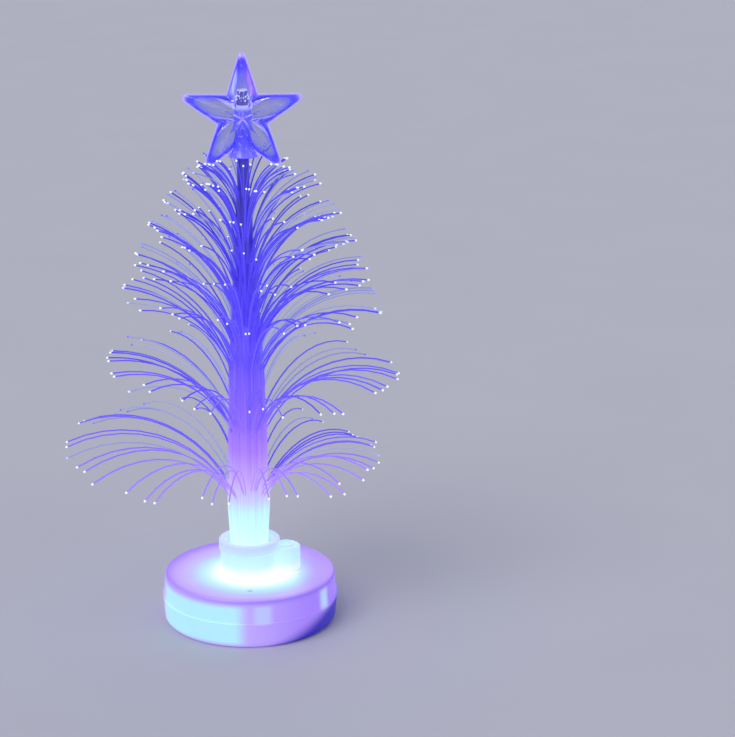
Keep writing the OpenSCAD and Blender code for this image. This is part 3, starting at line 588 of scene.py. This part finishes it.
# Core fibres: the last acrylic strands, which run up through the sleeve into the star.
# Most splay into a small dome above the sleeve, and a few stand higher with bright ends.
star_ends, tall_h, tall_spread = 7, 5.85, 0.9
dome_foot_h, dome_h, dome_r = 2.8, 2.0, 1.3
core_thick, tall_end_thick, end_length = 0.22, 0.28, 0.3
golden_turn = np.radians(137.508)
splay_z = star_z + 2.0
straight_z = [trunk_foot, collar_top, 60.0, 95.0, splay_z]
i = np.arange(core_fibres)
tall = i < star_ends
from_axis = core_r * np.sqrt((i + 0.5) / core_fibres)
dome_z = star_z + dome_foot_h + dome_h * np.sqrt(1 - (from_axis / dome_r) ** 2)
core_end = np.where(tall, star_z + tall_h - tall_spread * scatter(i, 3), dome_z)
splay = np.where(tall, 1.2, 1.5)
core_z = np.concatenate([np.tile(straight_z, (core_fibres, 1)),
                         np.stack([(splay_z + core_end) / 2, core_end - end_length, core_end], 1)], 1)
widening = np.concatenate([np.ones((core_fibres, len(straight_z))),
                           np.stack([(1 + splay) / 2, splay, splay], 1)], 1)
core_thickness = np.full(core_z.shape, core_thick)
core_thickness[tall, -2:] = tall_end_thick
core_notes = np.stack(np.broadcast_arrays([0.0, 0.0, 0.0, 0.05, 0.3, 0.6, 0.98, 1.0],
                                          np.where(tall, 1.0, 0.55)[:, None], scatter(i, 9)[:, None]), -1)
core_rings = swept(from_axis[:, None] * widening, core_z, golden_turn * i, core_thickness)
core = strand_piece("fibres_core", core_rings, core_notes)
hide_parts("fibre_core")


# Star sleeve: a clear flared tube of acrylic, pushed down over the last fibres.
# The star's halves close round it, and its bell shows below them.
sleeve_top, sleeve_foot, sleeve_bore, sleeve_r, sleeve_turns = star_z + 2.4, star_z - 8.9, 1.51, 1.91, 48
mouth_r, mouth_wall, bell_h, lip_h = 3.25, 0.4, 3.6, 0.2
flare, lip = np.linspace(0, 1, 12), np.linspace(0, np.pi, 7)
wall_middle, wall_half = (sleeve_r + sleeve_bore) / 2, (sleeve_r - sleeve_bore) / 2
sleeve_profile = np.concatenate([
    np.stack([sleeve_r + (mouth_r - sleeve_r) * (1 - flare) ** 1.7, sleeve_foot + bell_h * flare], -1),
    np.stack([wall_middle + wall_half * np.cos(lip), sleeve_top - lip_h + lip_h * np.sin(lip)], -1),
    np.stack([sleeve_bore + (mouth_r - mouth_wall - sleeve_bore) * flare ** 2.2,
              sleeve_foot + bell_h * (1 - flare)], -1)])
sleeve_material, shader, place = finish_of("clear_sleeve", {
    "IOR": 1.49, "Transmission Weight": 0.15, "Emission Strength": 0.6})
# Painted light: the sleeve glows blue, white at its top lip, and this noise both roughens it and paints white
# glints where it peaks.
glint = place.speckle(1.1, 3.0)
sleeve_glow = place.axes_mm()[2].ramp(107.0, 119.0, (107.0, "7B74FF"), (108.5, "4A40F0"), (112.0, "3C33E8"),
                                      (117.4, "5C54F6"), (118.1, "E8EEFF"), (119.0, "F4F8FF"))
feed(shader, "Base Color", glint.tint("3A34C0", "8A88F2"))
feed(shader, "Emission Color", (glint.rise(0.58, 0.72) * 0.7).tint(sleeve_glow, "DCE2FF"))
feed(shader, "Roughness", glint * 0.2 + 0.1)
feed(shader, "Normal", glint.bump(0.15, 0.4))
star_sleeve = mesh_piece("star_sleeve", turned(sleeve_profile, sleeve_turns),
                         [grid_faces(len(sleeve_profile), sleeve_turns, close_rows=True)], sleeve_material)
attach(star_sleeve, "tree")
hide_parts("star_socket")


# Star: two hollow halves of clear polystyrene, welded along their flat edge round the sleeve.
# Each is a five-armed ridged shell with leaf-shaped hollows, and its rounded rim gathers the light.
def star_outline(radius, notch, tip_r, notch_round, bulge=0.0):
    """A five-armed outline, from the mirrored halves of one arm: a round tip, a flank from it and half a
    round notch. The flank bulges by bulge times sin(pi f) at share f of its length."""
    tip_turn, half_fifth = np.radians(np.linspace(90, 22, 6)), math.radians(36)
    tip_arc = np.stack([tip_r * np.cos(tip_turn), radius - tip_r + tip_r * np.sin(tip_turn)], -1)
    hollow_turn = half_fifth + np.radians(np.linspace(54, 0, 4))
    hollow = (notch + notch_round) * np.array([math.sin(half_fifth), math.cos(half_fifth)])
    hollow = hollow - notch_round * np.stack([np.sin(hollow_turn), np.cos(hollow_turn)], -1)
    share = np.linspace(0, 1, 10)[1:-1, None]
    line = hollow[0] - tip_arc[-1]
    normal = np.array([-line[1], line[0]]) / np.hypot(*line)
    flank = tip_arc[-1] + share * line + bulge * np.sin(np.pi * share) * normal
    half = np.concatenate([tip_arc, flank, hollow])
    arm = np.concatenate([half[::-1], half[1:-1] * (-1, 1)])
    turn = 2 * np.pi * np.arange(5)[:, None] / 5
    across, along = arm[:, 0], arm[:, 1]
    return np.stack([across * np.cos(turn) - along * np.sin(turn),
                     across * np.sin(turn) + along * np.cos(turn)], -1).reshape(-1, 2)


def star_shell(side):
    """Half a hollow star towards y = side: the outline shrinks to the centre while the depth grows evenly to
    the peak. A leaf-armed outline inside it makes the hollow: towards the centre it turns into the outer
    one's form, so that the wall there is even, and the flat rim between the two closes the shell.
    Gives the points, the faces and how near each point is to the rim."""
    outer = star_outline(radius=13.5, notch=5.85, tip_r=0.8, notch_round=0.35)
    inner = star_outline(radius=11.0, notch=3.2, tip_r=0.45, notch_round=0.4, bulge=0.6)
    rim_depth, outer_rise, hollow_depth, hollow_rise, weld_gap = 0.6, 4.1, 0.3, 3.3, 0.02
    shrink = np.linspace(1, 0.004, 10)
    rows = [((inner * s + outer * (0.8 * (1 - s))) * s, hollow_depth + hollow_rise * (1 - s), 0.85 * s ** 8)
            for s in shrink[::-1]]
    rows += [(inner, weld_gap, 0.9), (outer * 0.985, weld_gap, 1.0), (outer, 0.18, 1.0), (outer, 0.42, 1.0)]
    rows += [(outer * (0.988 * s), rim_depth + outer_rise * (1 - s), s) for s in shrink]
    count = len(outer)
    points = np.concatenate([np.stack([flat[:, 0], np.full(count, side * depth), flat[:, 1] + star_z], -1)
                             for flat, depth, _ in rows])
    ring = np.arange(count)[None]
    blocks = [grid_faces(len(rows), count), ring[:, ::-1], (len(rows) - 1) * count + ring]
    return points, [block[:, ::-side] for block in blocks], np.repeat([near for _, _, near in rows], count)


star_material, shader, place = finish_of("clear_star", {
    "IOR": 1.49, "Transmission Weight": 0.95, "Emission Strength": 0.8, "Roughness": 0.03})
x, _, z = place.axes_mm()
star_up = z - star_z
rim = place.kept("rim", "Fac")
top_arm = star_up.rise(3.5, 8.0)
# Painted glints: white-lilac specks of glow along the top arm's middle ridge.
ridge_glints = (1 - x.maths("ABSOLUTE", x, 0.0).rise(0.1, 0.4)) * top_arm * place.speckle(1.6).rise(0.52, 0.6)
# Painted highlights: pale blue streaks of glow along the top arm's left flank and violet ones along its
# right.
flank = rim.window(0.72, 0.92, 0.1) * star_up.window(4.5, 10.5, 2.0)
left_flank_highlight, right_flank_highlight = flank * (1 - x.rise(-1.3, -0.7)), flank * x.rise(0.7, 1.3)
# Painted light: the lamp's blue is painted into the wall near the rim and through the top arm, in the base
# colour and a faint glow. The outline glows strongly, and across the top arm the glow turns from blue on the
# left to violet on the right.
in_wall = rim.rise(0.62, 0.9) * 0.8 + rim.rise(0.25, 0.55) * top_arm * 0.7
outer_line = rim.rise(0.93, 0.99)
clear_colour = place.speckle(0.5).tint("DADEFF", "EEF0FF")
glow_colour = (top_arm * x.rise(-2.0, 2.0)).tint("3A36FF", "6A34FF")
glow_colour = (ridge_glints * 0.6).tint(glow_colour, "C8CCFF")
glow_colour = outer_line.tint(glow_colour, "9484FF")
glow_colour = (left_flank_highlight * 0.8).tint(glow_colour, "C4D6FF")
glow_colour = (right_flank_highlight * 0.8).tint(glow_colour, "B47CFF")
glow_share = in_wall * 0.22 + outer_line * 0.7 + (left_flank_highlight + right_flank_highlight) * 0.4
feed(shader, "Base Color", in_wall.tint(clear_colour, "8A86FF"))
feed(shader, "Emission Color", glow_share.tint("000000", glow_colour))
for side, name in ((-1, "front"), (1, "back")):
    points, blocks, rims = star_shell(side)
    half = mesh_piece(f"star_{name}_half", points, blocks, star_material)
    keep(half, "rim", rims)
    half.data.set_sharp_from_angle(angle=math.radians(35))
    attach(half, "tree")
    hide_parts(f"star_{name}")
